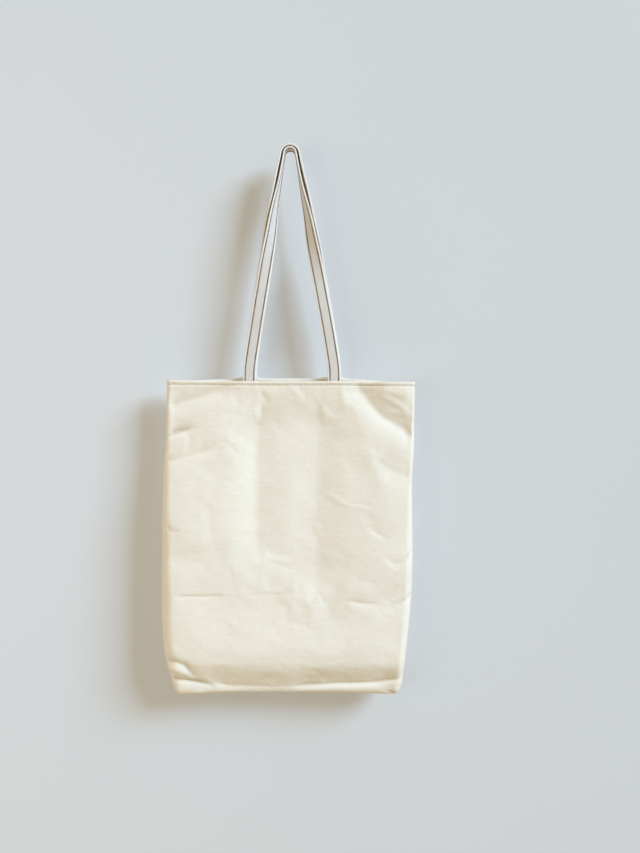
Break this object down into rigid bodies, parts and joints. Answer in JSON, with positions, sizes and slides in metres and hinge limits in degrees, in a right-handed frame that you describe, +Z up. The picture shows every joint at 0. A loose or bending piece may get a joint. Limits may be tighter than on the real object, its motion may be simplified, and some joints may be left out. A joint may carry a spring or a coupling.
{
  "type": "canvas tote bag",
  "caption": "Flat lined canvas tote bag with a shallow boxed base, an open top and long narrow strap handles, hanging empty from one point.",
  "frame": {"origin": "on the axis of the peg that both handle loops hang from, midway across the strap", "axes": "+Z up, +X to the bag's right as seen from the front, -Y out of the front panel"},
  "size_m": [0.304, 0.0382, 0.6662],
  "materials": {
    "canvas": "cream cotton canvas with a slight sheen",
    "lining": "plain cream cotton",
    "strap": "off-white woven cotton strap",
    "brown_thread": "dark brown sewing thread",
    "cream_thread": "cream sewing thread"
  },
  "bodies": {
    "bag_body": {"back_panel": "canvas", "base_panel": "canvas", "back_lining": "lining", "base_lining": "lining", "back_handle_left_end": "strap", "back_handle_right_end": "strap"},
    "bag_front": {"front_panel": "canvas", "front_lining": "lining", "front_handle_left_end": "strap", "front_handle_right_end": "strap"},
    "front_handle_loop": {"front_handle": "strap"},
    "back_handle_loop": {"back_handle": "strap"}
  },
  "joints": [
    {"name": "mouth_open", "type": "hinge", "parent": "bag_body", "child": "bag_front", "pos_m": [0, -0.01515, -0.6545], "axis": [1, 0, 0], "range_deg": [0, 10]},
    {"name": "front_handle_swing", "type": "hinge", "parent": "bag_front", "child": "front_handle_loop", "pos_m": [0, -0.00665, -0.269], "axis": [1, 0, 0], "range_deg": [0, 150]},
    {"name": "back_handle_swing", "type": "hinge", "parent": "bag_body", "child": "back_handle_loop", "pos_m": [0, 0.00665, -0.264], "axis": [-1, 0, 0], "range_deg": [0, 150]}
  ]
}
